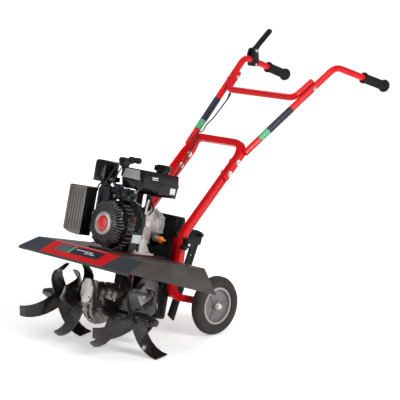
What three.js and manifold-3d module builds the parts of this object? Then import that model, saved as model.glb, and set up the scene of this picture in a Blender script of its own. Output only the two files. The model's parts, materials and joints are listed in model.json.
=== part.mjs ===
// Front-tine garden tiller with a small recoil-start engine, a belt clutch and a worm gearbox.
// Millimetres, +Z up. The tines lead towards -Y and the operator stands towards +Y.
// Two nested groups share the tine shaft's axis as their own X axis: `level` stands square on the
// ground, and `chassis` leans back by PITCH and holds the engine, the gearbox and the shield.
import * as THREE from "three";
import { mergeVertices } from "three/addons/utils/BufferGeometryUtils.js";
import Module from "manifold-3d";

const wasm = await Module();
wasm.setup();

// ---------------------------------------------------------------- driving dimensions
const PITCH = THREE.MathUtils.degToRad(14.1);
const GAP = 0.4; // between pieces that touch

const TINE = { straight: 62, thick: 5, rootWidth: 62, tipWidth: 43, tipSkew: 8 };
const OUTER_TINES = { x: 200, bendRadius: 78, bendAngle: 90, phase: 17.7 };
const INNER_TINES = { x: 98, bendRadius: 76, bendAngle: 75, phase: -30.6 };
const SHAFT_RADIUS = 12.7;
const SHAFT_HALF = 299;

const WHEEL = { radius: 108, width: 44, x: 190, y: 394 };
const TUBE = 25.4; // square frame tube and the round handle tube
const TUBE_WALL = 2.2;
const LEG_X = 122;
const CARRIER_X = LEG_X - TUBE - 0.3;
const HANDLE_X = 148; // lower end of an upper handle
const GRIP_X = 260; // rear end of a grip
const BRACE_DIAMETER = 25.4;

const CRANK_Z = 297; // above the tine shaft, in the chassis
const CRANK_RADIUS = 10;
const WORM_Z = 58;
const WHEEL_TEETH = 30; // driven by a two-start worm
const WORM_WHEEL_RADIUS = 40;
const DRIVE_PULLEY_RADIUS = 36;
const DRIVEN_PULLEY_RADIUS = 62;
const BELT_Y = 240;

const DECK_Z = 202; // top of the tine shield
const DECK_X = 276;
const SHEET = 2.5;

// ---------------------------------------------------------------- materials
const finish = (color, roughness, metalness) =>
  new THREE.MeshStandardMaterial({ color, roughness, metalness });
const RED = finish(0xd81820, 0.3, 0.1);
const BLACK_PAINT = finish(0x1a1a1b, 0.4, 0.2);
const TINE_BLACK = finish(0x2b2725, 0.45, 0.3);
const SHIELD_GREY = finish(0x45423f, 0.5, 0.1);
const PLASTIC = finish(0x17171a, 0.45, 0);
const GRIP_BLACK = finish(0x151515, 0.8, 0);
const TYRE = finish(0x2f2c29, 0.85, 0);
const RIM_GREY = finish(0x6f6b68, 0.5, 0);
const ZINC = finish(0xc9c7bd, 0.3, 0.9);
const STEEL = finish(0x8f8f8c, 0.35, 0.9);
const ALUMINIUM = finish(0xb5aea6, 0.45, 0.8);
const BRONZE = finish(0xa9803c, 0.4, 0.9);
const RUBBER = finish(0x111111, 0.9, 0);
const ORANGE = finish(0xe07a20, 0.4, 0);
const HEAT_BLACK = finish(0x3a3735, 0.5, 0.4);

// ---------------------------------------------------------------- solids
// A closed geometry as a manifold solid, facing out, with its flat triangles removed.
function solid(geometry) {
  const flat = geometry.index ? geometry.toNonIndexed() : geometry;
  const bare = new THREE.BufferGeometry();
  bare.setAttribute("position", flat.getAttribute("position"));
  const merged = mergeVertices(bare, 1e-3);
  const index = merged.index.array;
  const build = (flip) => {
    const triangles = [];
    for (let i = 0; i < index.length; i += 3) {
      const [a, b, c] = [index[i], index[i + 1], index[i + 2]];
      if (a === b || b === c || c === a) continue;
      triangles.push(a, flip ? c : b, flip ? b : c);
    }
    const vertProperties = merged.attributes.position.array;
    const triVerts = new Uint32Array(triangles);
    return new wasm.Manifold(new wasm.Mesh({ numProp: 3, vertProperties, triVerts }));
  };
  const made = build(false);
  return made.volume() > 0 ? made : build(true);
}

function geometryOf(made) {
  const { numProp, vertProperties, triVerts } = made.getMesh();
  const count = vertProperties.length / numProp;
  const positions = new Float32Array(count * 3);
  for (let i = 0; i < count; i++) {
    positions.set(vertProperties.subarray(i * numProp, i * numProp + 3), i * 3);
  }
  const geometry = new THREE.BufferGeometry();
  geometry.setAttribute("position", new THREE.BufferAttribute(positions, 3));
  geometry.setIndex(new THREE.BufferAttribute(triVerts, 1));
  const faceted = geometry.toNonIndexed();
  faceted.computeVertexNormals();
  return faceted;
}

const join = (...pieces) => pieces.reduce((sum, piece) => sum.add(piece));
const cut = (body, ...tools) => tools.reduce((rest, tool) => rest.subtract(tool), body);

// A box between two corners.
function box(x0, x1, y0, y1, z0, z1) {
  const geometry = new THREE.BoxGeometry(x1 - x0, y1 - y0, z1 - z0);
  return solid(geometry.translate((x0 + x1) / 2, (y0 + y1) / 2, (z0 + z1) / 2));
}

// A round or prismatic bar between two points.
function bar(from, to, radius, sides = 20, endRadius = radius) {
  const a = new THREE.Vector3(...from);
  const b = new THREE.Vector3(...to);
  const geometry = new THREE.CylinderGeometry(endRadius, radius, a.distanceTo(b), sides);
  const turn = new THREE.Quaternion().setFromUnitVectors(
    new THREE.Vector3(0, 1, 0),
    b.clone().sub(a).normalize(),
  );
  const middle = a.add(b).multiplyScalar(0.5);
  return solid(geometry.applyQuaternion(turn).translate(middle.x, middle.y, middle.z));
}

const barX = (x0, x1, y, z, radius, sides) => bar([x0, y, z], [x1, y, z], radius, sides);
const barY = (y0, y1, x, z, radius, sides) => bar([x, y0, z], [x, y1, z], radius, sides);
const barZ = (z0, z1, x, y, radius, sides) => bar([x, y, z0], [x, y, z1], radius, sides);

// A profile of [radius, distance along the axis] turned about an axis through `centre`.
function turned(axis, profile, centre, sides = 24) {
  const points = profile.map(([radius, along]) => new THREE.Vector2(radius, along));
  const geometry = new THREE.LatheGeometry(points, sides);
  if (axis === "x") geometry.rotateZ(-Math.PI / 2);
  if (axis === "z") geometry.rotateX(Math.PI / 2);
  return solid(geometry.translate(...centre));
}

// An outline drawn in the YZ, XZ or XY plane and given a thickness along the third axis.
function plate(plane, shape, from, to, curveSegments = 6) {
  const geometry = new THREE.ExtrudeGeometry(shape, {
    depth: to - from,
    bevelEnabled: false,
    curveSegments,
  });
  const basis = new THREE.Matrix4();
  if (plane === "yz") basis.set(0, 0, 1, from, 1, 0, 0, 0, 0, 1, 0, 0, 0, 0, 0, 1);
  if (plane === "xz") basis.set(1, 0, 0, 0, 0, 0, -1, to, 0, 1, 0, 0, 0, 0, 0, 1);
  if (plane === "xy") basis.setPosition(0, 0, from);
  return solid(geometry.applyMatrix4(basis));
}

const polygon = (points) => new THREE.Shape(points.map(([a, b]) => new THREE.Vector2(a, b)));

// A polygon whose corners are rounded by curves that start `trim` before each corner.
function softPolygon(points, trim) {
  const corners = points.map(([a, b]) => new THREE.Vector2(a, b));
  const shape = new THREE.Shape();
  corners.forEach((corner, i) => {
    const before = corners[(i + corners.length - 1) % corners.length];
    const after = corners[(i + 1) % corners.length];
    const start = corner.clone().lerp(before, Math.min(0.4, trim / corner.distanceTo(before)));
    const end = corner.clone().lerp(after, Math.min(0.4, trim / corner.distanceTo(after)));
    if (i === 0) shape.moveTo(start.x, start.y);
    else shape.lineTo(start.x, start.y);
    shape.quadraticCurveTo(corner.x, corner.y, end.x, end.y);
  });
  shape.closePath();
  return shape;
}

// A closed solid skinned over sections that have the same number of points.
function loft(sections) {
  const positions = [];
  const triangle = (a, b, c) => positions.push(...a, ...b, ...c);
  const n = sections[0].length;
  for (let k = 0; k + 1 < sections.length; k++) {
    for (let i = 0; i < n; i++) {
      const j = (i + 1) % n;
      triangle(sections[k][i], sections[k][j], sections[k + 1][j]);
      triangle(sections[k][i], sections[k + 1][j], sections[k + 1][i]);
    }
  }
  const [first, last] = [sections[0], sections[sections.length - 1]];
  for (let i = 1; i + 1 < n; i++) {
    triangle(first[0], first[i + 1], first[i]);
    triangle(last[0], last[i], last[i + 1]);
  }
  const geometry = new THREE.BufferGeometry();
  geometry.setAttribute("position", new THREE.Float32BufferAttribute(positions, 3));
  return solid(geometry);
}

// A sheet: an outline in space, thickened by one offset.
const sheet = (outline, offset) =>
  loft([outline, outline.map((point) => point.map((value, axis) => value + offset[axis]))]);

// A path through chosen stations, so that a swept tube has a ring at each station and nowhere else.
class StationPath extends THREE.Curve {
  constructor(stations) {
    super();
    this.stations = stations;
  }
  getPoint(t) {
    const last = this.stations.length - 1;
    const i = Math.min(Math.floor(t * last + 1e-6), last - 1);
    return this.stations[i].clone().lerp(this.stations[i + 1], t * last - i);
  }
  getPointAt(t) {
    return this.getPoint(t);
  }
  getTangentAt(t) {
    const last = this.stations.length - 1;
    const i = Math.round(t * last);
    const tangent = new THREE.Vector3();
    if (i > 0) tangent.add(this.stations[i].clone().sub(this.stations[i - 1]).normalize());
    if (i < last) tangent.add(this.stations[i + 1].clone().sub(this.stations[i]).normalize());
    return tangent.normalize();
  }
}

// Stations along a polyline of [x, y, z, trim], each inner corner eased over its trim length.
function eased(corners, steps = 4) {
  const points = corners.map(([x, y, z]) => new THREE.Vector3(x, y, z));
  const stations = [points[0]];
  for (let i = 1; i + 1 < points.length; i++) {
    const trim = corners[i][3];
    const towards = (other) =>
      points[i].clone().add(other.clone().sub(points[i]).setLength(trim));
    const bend = new THREE.QuadraticBezierCurve3(
      towards(points[i - 1]),
      points[i],
      towards(points[i + 1]),
    );
    stations.push(...bend.getPoints(steps));
  }
  stations.push(points[points.length - 1]);
  return stations;
}

function sweep(stations, section) {
  const geometry = new THREE.ExtrudeGeometry(section, {
    steps: stations.length - 1,
    extrudePath: new StationPath(stations),
    bevelEnabled: false,
  });
  return solid(geometry);
}

function ring(sides, radius) {
  const points = [];
  for (let i = 0; i < sides; i++) {
    const angle = (2 * Math.PI * (i + 0.5)) / sides;
    points.push(new THREE.Vector2(radius * Math.cos(angle), radius * Math.sin(angle)));
  }
  return points;
}

function hollow(sides, radius, wall) {
  const section = new THREE.Shape(ring(sides, radius));
  section.holes.push(new THREE.Path(ring(sides, radius - wall)));
  return section;
}

const ROUND_TUBE = hollow(12, TUBE / 2, TUBE_WALL);
const SQUARE_TUBE = hollow(4, (TUBE / 2) * Math.SQRT2, TUBE_WALL * Math.SQRT2);

// ---------------------------------------------------------------- the scene graph
const tiller = new THREE.Group();
const level = new THREE.Group();
const chassis = new THREE.Group();
chassis.rotation.x = -PITCH;
level.add(chassis);
tiller.add(level);

function add(parent, name, material, made) {
  const mesh = new THREE.Mesh(geometryOf(made), material);
  mesh.name = name;
  parent.add(mesh);
  return mesh;
}

// ---------------------------------------------------------------- tines and their shaft
// One blade hangs down from the shaft, stands flat for a while and then curls sideways.
function tineBlade(x, curl, { bendRadius, bendAngle }) {
  const sweepAngle = THREE.MathUtils.degToRad(bendAngle);
  const length = TINE.straight + bendRadius * sweepAngle;
  const steps = 7;
  const at = (s, t, depth) => {
    const angle = Math.max(0, s - TINE.straight) / bendRadius;
    const reach = Math.min(s, TINE.straight) + bendRadius * Math.sin(angle);
    const side = bendRadius * (1 - Math.cos(angle));
    const normal = [Math.cos(angle), -Math.sin(angle)];
    return [x + curl * (side + depth * normal[0]), t, -(reach + depth * normal[1])];
  };
  const sections = [];
  for (let k = 0; k <= steps; k++) {
    const share = k / steps;
    const half = THREE.MathUtils.lerp(TINE.rootWidth, TINE.tipWidth, share) / 2;
    const [lead, trail] = [share * (length + TINE.tipSkew), share * (length - TINE.tipSkew)];
    const depth = TINE.thick / 2;
    sections.push([
      at(lead, half, -depth),
      at(lead, half, depth),
      at(trail, -half, depth),
      at(trail, -half, -depth),
    ]);
  }
  return loft(sections);
}

// Four blades on a hub: opposite blades curl the same way, neighbours curl opposite ways.
function tineSet(name, side, { x, phase, firstCurl, ...bend }, hubFrom, hubTo, collar) {
  const pieces = [
    barX(hubFrom * side, hubTo * side, 0, 0, 21.5, 16),
    barX((x - 4) * side, (x + 4) * side, 0, 0, 34, 16),
  ];
  if (collar) pieces.push(barX(hubTo * side, collar * side, 0, 0, 18, 16));
  for (let k = 0; k < 4; k++) {
    const blade = tineBlade(x * side, k % 2 ? -firstCurl : firstCurl, bend);
    const turn = new THREE.Matrix4().makeRotationX(THREE.MathUtils.degToRad(phase + 90 * k));
    pieces.push(solid(geometryOf(blade).applyMatrix4(turn)));
  }
  const bore = barX(-SHAFT_HALF - 1, SHAFT_HALF + 1, 0, 0, SHAFT_RADIUS + GAP, 16);
  return add(level, name, TINE_BLACK, cut(join(...pieces), bore));
}

const outer = { ...OUTER_TINES, firstCurl: 1 };
const inner = { ...INNER_TINES, firstCurl: -1 };
const tineSets = [
  tineSet("tine_outer_left", 1, outer, 188, 262, 280),
  tineSet("tine_inner_left", 1, inner, 45.5, 107, 0),
  tineSet("tine_inner_right", -1, inner, 45.5, 107, 0),
  tineSet("tine_outer_right", -1, outer, 188, 262, 280),
];
add(level, "tine_shaft", STEEL, barX(-SHAFT_HALF, SHAFT_HALF, 0, 0, SHAFT_RADIUS, 16));

const floorZ = tineSets.reduce(
  (lowest, set) => Math.min(lowest, new THREE.Box3().setFromObject(set, true).min.z),
  0,
);
const axleZ = floorZ + WHEEL.radius;

// ---------------------------------------------------------------- gearbox
const wormWheelOutline = new THREE.Shape();
for (let i = 0; i < WHEEL_TEETH; i++) {
  const pitch = (2 * Math.PI) / WHEEL_TEETH;
  [
    [-0.3, WORM_WHEEL_RADIUS - 5],
    [-0.14, WORM_WHEEL_RADIUS],
    [0.14, WORM_WHEEL_RADIUS],
    [0.3, WORM_WHEEL_RADIUS - 5],
  ].forEach(([part, radius], corner) => {
    const angle = (i + part) * pitch;
    const [a, b] = [radius * Math.cos(angle), radius * Math.sin(angle)];
    if (i + corner === 0) wormWheelOutline.moveTo(a, b);
    else wormWheelOutline.lineTo(a, b);
  });
}
const wheelBore = barX(-SHAFT_HALF, SHAFT_HALF, 0, 0, SHAFT_RADIUS + GAP, 16);
add(level, "worm_wheel", BRONZE, cut(plate("yz", wormWheelOutline, -10, 10), wheelBore));

const wormShaft = join(
  barY(-62, 254, 0, WORM_Z, 8, 16),
  barY(-27, 27, 0, WORM_Z, 17.3, 20),
  barY(-50, -38, 0, WORM_Z, 14, 20),
  barY(56, 68, 0, WORM_Z, 14, 20),
);
add(chassis, "worm_shaft", STEEL, wormShaft);

// The case splits down the middle into two halves, each open on the joint face.
function gearboxHalf(side) {
  const outside = join(
    barX(-26, 26, 0, 0, 54, 24),
    barX(-7, 7, 0, 0, 62, 24),
    barX(-44, 44, 0, 0, 26, 16),
    barY(-60, 112, 0, WORM_Z, 30, 16),
    box(-22, 22, 60, 120, 60, 88),
    ...[-30, 0, 30].map((y) => barY(y - 3, y + 3, 0, WORM_Z, 34, 16)),
    box(-30, 30, -60, -46, 8, 96),
  );
  const inside = [
    barX(-13, 13, 0, 0, 44, 24),
    barY(-52, 72, 0, WORM_Z, 20, 16),
    barY(-80, 130, 0, WORM_Z, 9, 12),
    wheelBore,
  ];
  const otherHalf = side > 0 ? box(-80, 0.15, -100, 140, -80, 120) : box(-0.15, 80, -100, 140, -80, 120);
  return cut(outside, ...inside, otherHalf);
}
add(chassis, "gearbox_left", ALUMINIUM, gearboxHalf(1));
add(chassis, "gearbox_right", ALUMINIUM, gearboxHalf(-1));

const capOutline = softPolygon([
  [-12, 14], [12, 14], [29, 38], [29, 72], [12, 98], [-12, 98], [-29, 72], [-29, 38],
], 7);
add(chassis, "gearbox_cap", ALUMINIUM, plate("xz", capOutline, -70, -62.6, 3));

const hangerWeb = box(-22, 22, 74, 80, 88.5, 198.5);
const hangerFeet = join(box(-22, 22, 74, 122, 88.5, 94), box(-30, 30, 60, 122, 194, 198.5));
const hangerCheeks = join(box(-22, -18, 74, 118, 90, 196), box(18, 22, 74, 118, 90, 196));
add(chassis, "gearbox_hanger", BLACK_PAINT, join(hangerWeb, hangerFeet, hangerCheeks));

// ---------------------------------------------------------------- belt drive
function pulley(z, rim, bore) {
  const half = 10;
  const profile = [
    [bore, -half], [rim + 5, -half], [rim + 5, -7.5], [rim - 5, -7.2],
    [rim - 5, 7.2], [rim + 5, 7.5], [rim + 5, half], [bore, half], [bore, -half],
  ];
  return turned("y", profile, [0, BELT_Y, z], 24);
}
add(chassis, "drive_pulley", STEEL, pulley(CRANK_Z, DRIVE_PULLEY_RADIUS, CRANK_RADIUS + GAP));
add(chassis, "driven_pulley", STEEL, pulley(WORM_Z, DRIVEN_PULLEY_RADIUS, 8 + GAP));

// The belt's run: two arcs joined by the tangents of the two pulleys.
function beltOutline(offset) {
  const [top, low] = [DRIVE_PULLEY_RADIUS + offset, DRIVEN_PULLEY_RADIUS + offset];
  const lean = Math.asin((low - top) / (CRANK_Z - WORM_Z));
  const points = [];
  const arc = (z, radius, from, to, steps) => {
    for (let i = 0; i <= steps; i++) {
      const angle = from + ((to - from) * i) / steps;
      points.push(new THREE.Vector2(radius * Math.cos(angle), z + radius * Math.sin(angle)));
    }
  };
  arc(CRANK_Z, top, lean, Math.PI - lean, 12);
  arc(WORM_Z, low, Math.PI - lean, 2 * Math.PI + lean, 16);
  return points;
}
const beltShape = new THREE.Shape(beltOutline(5));
beltShape.holes.push(new THREE.Path(beltOutline(-3)));
add(chassis, "drive_belt", RUBBER, plate("xz", beltShape, BELT_Y - 6.2, BELT_Y + 6.2));

const IDLER = { pivotX: -58, pivotZ: 318, x: -22, z: 190, radius: 14 };
const idlerArm = join(
  plate("xz", softPolygon([
    [IDLER.pivotX - 12, IDLER.pivotZ + 12], [IDLER.x - 10, IDLER.z - 10],
    [IDLER.x + 9, IDLER.z - 10], [IDLER.pivotX + 10, IDLER.pivotZ + 12],
  ], 6), 222, 226, 3),
  barY(226, 251, IDLER.x, IDLER.z, 5, 12),
);
add(chassis, "idler_arm", STEEL, cut(idlerArm, barY(215, 230, IDLER.pivotX, IDLER.pivotZ, 4.4, 12)));
const idlerProfile = [
  [5 + GAP, -9], [17, -9], [17, -7], [IDLER.radius, -6.8],
  [IDLER.radius, 6.8], [17, 7], [17, 9], [5 + GAP, 9], [5 + GAP, -9],
];
add(chassis, "idler_pulley", STEEL, turned("y", idlerProfile, [IDLER.x, BELT_Y, IDLER.z], 20));

// The cover is a tray over the whole belt, closed behind and open in front below the engine.
const COVER = { front: 216, back: 262, top: 360, wideX: 95, narrowX: 75, step: 306, low: -20 };
function coverOutline(inset) {
  const { top, wideX, narrowX, step, low } = COVER;
  return softPolygon([
    [-wideX + inset, top - inset], [-wideX + inset, step + inset], [-narrowX + inset, step - 18],
    [-narrowX + inset, low + inset], [narrowX - inset, low + inset], [narrowX - inset, step - 18],
    [wideX - inset, step + inset], [wideX - inset, top - inset],
  ], 14);
}
const coverShell = cut(
  plate("xz", coverOutline(0), COVER.front, COVER.back, 4),
  plate("xz", coverOutline(3), COVER.front + 3, COVER.back - 3, 4),
  box(-69, 69, COVER.front - 1, COVER.front + 10, -12, 256),
  barY(COVER.front - 1, COVER.front + 10, 0, CRANK_Z, CRANK_RADIUS + 4, 20),
);
const idlerPost = barY(COVER.front + 1, COVER.back - 1, IDLER.pivotX, IDLER.pivotZ, 4, 12);
add(chassis, "belt_cover", BLACK_PAINT, join(coverShell, idlerPost));

// ---------------------------------------------------------------- frame and shield
const bulkhead = plate("xz", polygon([
  [-134, 130], [134, 130], [134, 198], [104, 198], [104, 262], [-104, 262], [-104, 198], [-134, 198],
]), 206, 210);
const frameParts = [bulkhead, box(-80, 80, -25, 206.5, DECK_Z + 0.6, DECK_Z + 4.6)];
for (const side of [-1, 1]) {
  const [near, far] = side > 0 ? [58, 62] : [-62, -58];
  frameParts.push(box(near, far, -70, 206.5, 174, DECK_Z - SHEET - GAP));
  const [blockIn, blockOut] = side > 0 ? [110, 134] : [-134, -110];
  frameParts.push(box(blockIn, blockOut, 209.5, 217, 150, 196));
}
const frameHole = barY(200, 215, 0, CRANK_Z, 60, 32);
add(chassis, "engine_frame", RED, cut(join(...frameParts), frameHole));

const FRONT = { y: -164, z: 160, x: 294 };
const BREAK_Y = -92;
const DECK_BACK = 213;
const shieldPieces = [
  box(-DECK_X, DECK_X, BREAK_Y, DECK_BACK, DECK_Z - SHEET, DECK_Z),
  sheet([
    [-FRONT.x, FRONT.y, FRONT.z], [FRONT.x, FRONT.y, FRONT.z],
    [DECK_X, BREAK_Y, DECK_Z], [-DECK_X, BREAK_Y, DECK_Z],
  ], [0, 0.6, -SHEET]),
  box(-FRONT.x + 1, FRONT.x - 1, FRONT.y, FRONT.y + SHEET, FRONT.z - 9, FRONT.z),
];
for (const side of [-1, 1]) {
  const offset = [-side * SHEET, 0, 0];
  shieldPieces.push(
    sheet([
      [side * DECK_X, BREAK_Y, DECK_Z], [side * FRONT.x, FRONT.y, FRONT.z],
      [side * FRONT.x, 48, 137], [side * DECK_X, 48, DECK_Z],
    ], offset),
    sheet([
      [side * DECK_X, 47.5, DECK_Z], [side * FRONT.x, 47.5, 137],
      [side * FRONT.x, 279, 112], [side * DECK_X, DECK_BACK, DECK_Z],
    ], offset),
  );
}
const shieldCuts = [
  box(-138, 138, 203.5, DECK_BACK + 60, DECK_Z - 10, DECK_Z + 10),
];
add(chassis, "shield", SHIELD_GREY, cut(join(...shieldPieces), ...shieldCuts));

// ---------------------------------------------------------------- handles
const KNOB = { y: 295.5, z: 202 };
const LEG_BOLTS = [[517, 430], [561, 467]];

const legCorners = (side) => [
  [side * LEG_X, 275, 112, 0],
  [side * LEG_X, 296, 231, 34],
  [side * LEG_X, 588, 484, 12],
  [side * LEG_X, 610, 526, 32],
];
const lowerPath = eased([...legCorners(1), ...legCorners(-1).reverse()]);
const boltHoles = LEG_BOLTS.flatMap(([y, z]) =>
  [1, -1].map((side) => barX(side * 100, side * 150, y, z, 4.4, 12)),
);
const knobHole = barX(70, 150, KNOB.y, KNOB.z, 5.5, 12);
add(level, "lower_handle", RED, cut(sweep(lowerPath, SQUARE_TUBE), ...boltHoles, knobHole));

// The wheel carrier's two arms lie inside the legs and sweep back to the wheels.
const armCorners = (side) => [
  [side * CARRIER_X, 298, 217, 0],
  [side * CARRIER_X, 287, 138, 20],
  [side * CARRIER_X, 264, 8, 46],
  [side * CARRIER_X, WHEEL.y + 12, axleZ - 4, 0],
];
const carrierCuts = [knobHole];
for (const side of [-1, 1]) carrierCuts.push(barX(side * 70, side * 120, WHEEL.y, axleZ, 6.5, 16));
const carrier = join(
  ...[1, -1].map((side) => sweep(eased(armCorners(side)), SQUARE_TUBE)),
  barX(-CARRIER_X, CARRIER_X, 318, -9, 9.5, 16),
);
add(level, "wheel_carrier", RED, cut(carrier, ...carrierCuts));

const handleTop = [HANDLE_X + 88, 997, 790];
const gripAxis = new THREE.Vector3(GRIP_X, 1266, 694.5).sub(new THREE.Vector3(...handleTop)).normalize();
const alongGrip = (side, distance) => [
  side * (GRIP_X + gripAxis.x * distance),
  1266 + gripAxis.y * distance,
  694.5 + gripAxis.z * distance,
];
function upperHandle(side) {
  const tube = sweep(eased([
    [side * (HANDLE_X + 2), 593, 497, 0],
    [side * (HANDLE_X + 4), 606, 508, 7],
    [side * handleTop[0], handleTop[1], handleTop[2], 30],
    [side * GRIP_X, 1266, 694.5, 0],
  ]), ROUND_TUBE);
  const [near, far] = side > 0 ? [135.2, 146.2] : [-146.2, -135.2];
  const paddle = plate("yz", softPolygon([
    [502, 403], [485, 423], [556, 484], [602, 514], [612, 499], [576, 468],
  ], 9), near, far, 3);
  const plug = bar([side * (HANDLE_X + 2), 593.5, 497.5], [side * (HANDLE_X + 3.5), 604, 506.5], 12, 12);
  return cut(join(paddle, tube, plug), ...boltHoles);
}
add(level, "upper_handle_left", RED, upperHandle(1));
add(level, "upper_handle_right", RED, upperHandle(-1));

const brace = sweep(eased([
  [193, 914, 738, 0], [174, 834, 682, 30], [-174, 834, 682, 30], [-193, 914, 738, 0],
]), hollow(10, BRACE_DIAMETER / 2, 2));
add(level, "handle_brace", RED, brace);

function grip(side) {
  const sleeve = bar(alongGrip(side, -128), alongGrip(side, 4), 19, 20);
  const flange = bar(alongGrip(side, -12), alongGrip(side, 8), 25, 20);
  const bore = bar(alongGrip(side, -140), alongGrip(side, 1), TUBE / 2 + GAP, 20);
  return cut(join(sleeve, flange), bore);
}
add(level, "grip_left", GRIP_BLACK, grip(1));
add(level, "grip_right", GRIP_BLACK, grip(-1));

// Each side's two bolts share one nut plate inside the leg.
function handleBolts(side) {
  const parts = LEG_BOLTS.flatMap(([y, z]) => [
    barX(side * 104, side * 147, y, z, 4, 12),
    barX(side * 146.6, side * 153, y, z, 8.5, 6),
  ]);
  const [near, far] = side > 0 ? [103, 109] : [-109, -103];
  const [first, second] = LEG_BOLTS;
  const nutPlate = plate("yz", softPolygon([
    [first[0] - 12, first[1] + 2], [first[0] + 2, first[1] - 13],
    [second[0] + 13, second[1] - 2], [second[0] - 2, second[1] + 13],
  ], 5), near, far, 3);
  return join(nutPlate, ...parts);
}
add(level, "handle_bolts_left", ZINC, handleBolts(1));
add(level, "handle_bolts_right", ZINC, handleBolts(-1));

const knobAngle = (i) => THREE.MathUtils.degToRad(90 + 120 * i);
const knobLobes = [0, 1, 2].map((i) =>
  bar(
    [136.5, KNOB.y + 15 * Math.cos(knobAngle(i)), KNOB.z + 15 * Math.sin(knobAngle(i))],
    [156, KNOB.y + 18 * Math.cos(knobAngle(i)), KNOB.z + 18 * Math.sin(knobAngle(i))],
    9.5,
    14,
  ),
);
const knobCore = join(barX(135.2, 157, KNOB.y, KNOB.z, 12, 18), barX(76, 150, KNOB.y, KNOB.z, 5, 12));
add(level, "carrier_knob", PLASTIC, join(knobCore, ...knobLobes));

// ---------------------------------------------------------------- clutch lever and cable
const LEVER = { x: -241, y: 1052, z: 812, rise: THREE.MathUtils.degToRad(37.4), length: 124 };
const leverSide = (distance, lift) => [
  LEVER.y + distance * Math.cos(LEVER.rise) - lift * Math.sin(LEVER.rise),
  LEVER.z + distance * Math.sin(LEVER.rise) + lift * Math.cos(LEVER.rise),
];
const leverShape = softPolygon([
  leverSide(-9, -10), leverSide(-9, 9), leverSide(20, 9), leverSide(LEVER.length, 8),
  leverSide(LEVER.length, -8), leverSide(34, -9), leverSide(16, -13),
], 6);
const leverBody = plate("yz", leverShape, LEVER.x - 6, LEVER.x + 6, 3);
const leverPinHole = barX(LEVER.x - 10, LEVER.x + 10, LEVER.y, LEVER.z, 3.4, 12);
add(level, "clutch_lever", PLASTIC, cut(leverBody, leverPinHole));

const tubeAt = (side, distance) => alongGrip(side, distance);
const clampShape = softPolygon([
  [1034, 754], [1029, 796], [1039, 820], [1060, 824], [1066, 798], [1068, 756], [1062, 750], [1040, 750],
], 5);
const clampBody = plate("yz", clampShape, LEVER.x - 16, LEVER.x + 16, 3);
const leverPin = barX(LEVER.x - 18, LEVER.x + 18, LEVER.y, LEVER.z, 3, 12);
const clampCuts = [
  bar(tubeAt(-1, -262), tubeAt(-1, -180), TUBE / 2 + GAP, 20),
  box(LEVER.x - 6.6, LEVER.x + 6.6, 1000, 1100, 790, 840),
];
add(level, "lever_bracket", PLASTIC, join(cut(clampBody, ...clampCuts), leverPin));

const CABLE = [
  [-255.5, 1022, 778], [-255.5, 1000, 776], [-254, 960, 750], [-247, 922, 722], [-238, 903, 704],
  [-226, 888, 692], [-208, 874, 680], [-190, 862, 675], [-178, 852, 663], [-166, 828, 648],
  [-150, 780, 624], [-133, 716, 589], [-118, 660, 566], [-110, 638, 552], [-105, 620, 545.5],
  [-103, 606, 546], [-101, 593.5, 539], [-99.5, 586.5, 521], [-99.5, 581, 505], [-99.5, 548, 470],
  [-99.5, 500, 420], [-99.5, 440, 364], [-99, 392, 326], [-97, 356, 306], [-94, 338, 298],
  [-92, 331.5, 292],
];
const cablePath = new THREE.CatmullRomCurve3(CABLE.map((point) => new THREE.Vector3(...point)));
const cableTube = sweep(cablePath.getPoints(44), new THREE.Shape(ring(6, 2.6)));
add(level, "clutch_cable", RUBBER, cableTube);

// ---------------------------------------------------------------- wheels
const AXLE_GAP = 0.4;
for (const [name, side] of [["left", 1], ["right", -1]]) {
  const hub = [side * WHEEL.x, WHEEL.y, axleZ];
  const half = WHEEL.width / 2;
  const tread = WHEEL.radius;
  const tyreProfile = [
    [70, -half + 8], [84, -half], [98, -half + 1], [tread - 3, -half + 9], [tread, -half + 15],
    [tread, half - 15], [tread - 3, half - 9], [98, half - 1], [84, half], [70, half - 8],
    [70, -half + 8],
  ];
  add(level, "tyre_" + name, TYRE, turned("x", tyreProfile, hub, 32));
  const bore = 6 + AXLE_GAP;
  const rimProfile = [
    [bore, -half], [14, -half], [14, -4], [60, -4], [62, -half + 9], [69.6, -half + 9],
    [69.6, half - 9], [62, half - 9], [60, 4], [14, 4], [14, half - 4], [bore, half - 4], [bore, -half],
  ];
  const facingOut = rimProfile.map(([radius, along]) => [radius, side * along]);
  const rim = turned("x", facingOut, hub, 24);
  const windows = [0, 1, 2, 3].map((i) => {
    const angle = THREE.MathUtils.degToRad(45 + 90 * i);
    const [y, z] = [WHEEL.y + 38 * Math.cos(angle), axleZ + 38 * Math.sin(angle)];
    return barX(side * (WHEEL.x - 8), side * (WHEEL.x + 8), y, z, 14, 16);
  });
  add(level, "rim_" + name, RIM_GREY, cut(rim, ...windows));
  const bolt = join(
    barX(side * 80, side * 216, WHEEL.y, axleZ, 6, 16),
    barX(side * 110.2, side * (WHEEL.x - half - AXLE_GAP), WHEEL.y, axleZ, 10, 16),
    barX(side * (WHEEL.x + half - 4 + AXLE_GAP), side * 218, WHEEL.y, axleZ, 11, 6),
    barX(side * 74, side * 83, WHEEL.y, axleZ, 10, 6),
  );
  add(level, "wheel_bolt_" + name, ZINC, bolt);
}

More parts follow.
